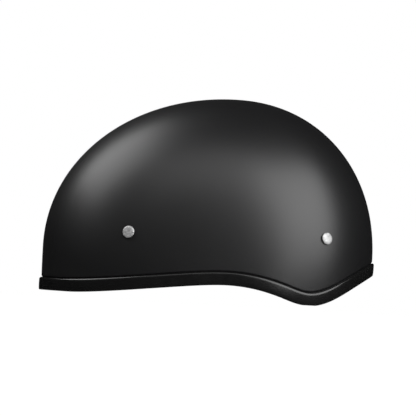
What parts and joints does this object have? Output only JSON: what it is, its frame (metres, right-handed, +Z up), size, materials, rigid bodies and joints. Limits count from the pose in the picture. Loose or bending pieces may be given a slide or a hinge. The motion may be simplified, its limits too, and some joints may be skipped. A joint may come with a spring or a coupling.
{
  "type": "half shell motorcycle helmet",
  "caption": "Half shell helmet with rubber rim trim, riveted strap yokes, foam liner, comfort pads and a double D-ring chin strap that stows inside and unfolds.",
  "frame": {"origin": "middle of the helmet's outline, on the plane that the rim stands on", "axes": "+Z up through the crown, -X the front, +X the nape, -Y the wearer's left"},
  "size_m": [0.2652, 0.2216, 0.1603],
  "materials": {
    "shell": "satin",
    "trim_rubber": "satin",
    "liner_foam": "matte",
    "pad_fabric": "matte",
    "webbing": "matte",
    "divider_plastic": "satin",
    "tab_ribbon": "matte",
    "rivet_steel": "satin",
    "ring_steel": "satin"
  },
  "bodies": {
    "helmet": {"outer_shell": "shell", "edge_trim": "trim_rubber", "impact_liner": "liner_foam", "brow_pad": "pad_fabric", "nape_pad": "pad_fabric", "left_side_pad": "pad_fabric", "right_side_pad": "pad_fabric", "crown_pad": "pad_fabric", "strap_rivets": "rivet_steel", "rivet_washers": "rivet_steel", "left_front_anchor_web": "webbing", "left_rear_anchor_web": "webbing", "right_front_anchor_web": "webbing", "right_rear_anchor_web": "webbing"},
    "left_yoke": {"left_front_leg": "webbing", "left_rear_leg": "webbing", "left_divider": "divider_plastic"},
    "left_strap": {"left_chin_strap": "webbing"},
    "inner_ring": {"inner_d_ring": "ring_steel", "release_tab": "tab_ribbon"},
    "outer_ring": {"outer_d_ring": "ring_steel"},
    "sliding_pad": {"chin_pad": "pad_fabric"},
    "right_yoke": {"right_front_leg": "webbing", "right_rear_leg": "webbing", "right_divider": "divider_plastic"},
    "right_strap": {"right_chin_strap": "webbing"},
    "right_middle_run": {"right_strap_middle_run": "webbing"},
    "right_tip_run": {"right_strap_tip_run": "webbing"}
  },
  "joints": [
    {"name": "left_yoke_fold", "type": "hinge", "parent": "helmet", "child": "left_yoke", "pos_m": [0.0152, -0.0628, 0.019], "axis": [-0.9968, -0.0802, 0], "range_deg": [0, 171.5]},
    {"name": "left_chin_strap_fold", "type": "hinge", "parent": "left_yoke", "child": "left_strap", "pos_m": [0.01382, -0.04569, 0.08923], "axis": [0.9968, 0.0802, 0], "range_deg": [0, 180]},
    {"name": "inner_ring_swing", "type": "hinge", "parent": "left_strap", "child": "inner_ring", "pos_m": [0.01413, -0.04956, 0.04431], "axis": [0.9968, 0.0802, 0], "range_deg": [0, 110]},
    {"name": "outer_ring_swing", "type": "hinge", "parent": "left_strap", "child": "outer_ring", "pos_m": [0.01458, -0.05508, 0.04514], "axis": [-0.9968, -0.0802, 0], "range_deg": [0, 40]},
    {"name": "chin_pad_slide", "type": "slide", "parent": "left_strap", "child": "sliding_pad", "axis": [-0.0119, 0.1473, 0.989], "range_m": [0, 0.006]},
    {"name": "right_yoke_fold", "type": "hinge", "parent": "helmet", "child": "right_yoke", "pos_m": [0.0152, 0.0628, 0.019], "axis": [0.9968, -0.0802, 0], "range_deg": [0, 171.5]},
    {"name": "right_chin_strap_fold", "type": "hinge", "parent": "right_yoke", "child": "right_strap", "pos_m": [0.01382, 0.04569, 0.08923], "axis": [-0.9968, 0.0802, 0], "range_deg": [0, 180]},
    {"name": "right_first_run_fold", "type": "hinge", "parent": "right_strap", "child": "right_middle_run", "pos_m": [0.01453, 0.05442, 0.0228], "axis": [0.9968, -0.0802, 0], "range_deg": [0, 180]},
    {"name": "right_second_run_fold", "type": "hinge", "parent": "right_middle_run", "child": "right_tip_run", "pos_m": [0.01363, 0.04332, 0.0818], "axis": [-0.9968, 0.0802, 0], "range_deg": [0, 180]}
  ],
  "couplings": [
    {"joint": "left_chin_strap_fold", "follows": "left_yoke_fold", "ratio": 1.049},
    {"joint": "right_chin_strap_fold", "follows": "right_yoke_fold", "ratio": 1.049},
    {"joint": "right_first_run_fold", "follows": "right_yoke_fold", "ratio": 1.049},
    {"joint": "right_second_run_fold", "follows": "right_yoke_fold", "ratio": 1.049}
  ]
}
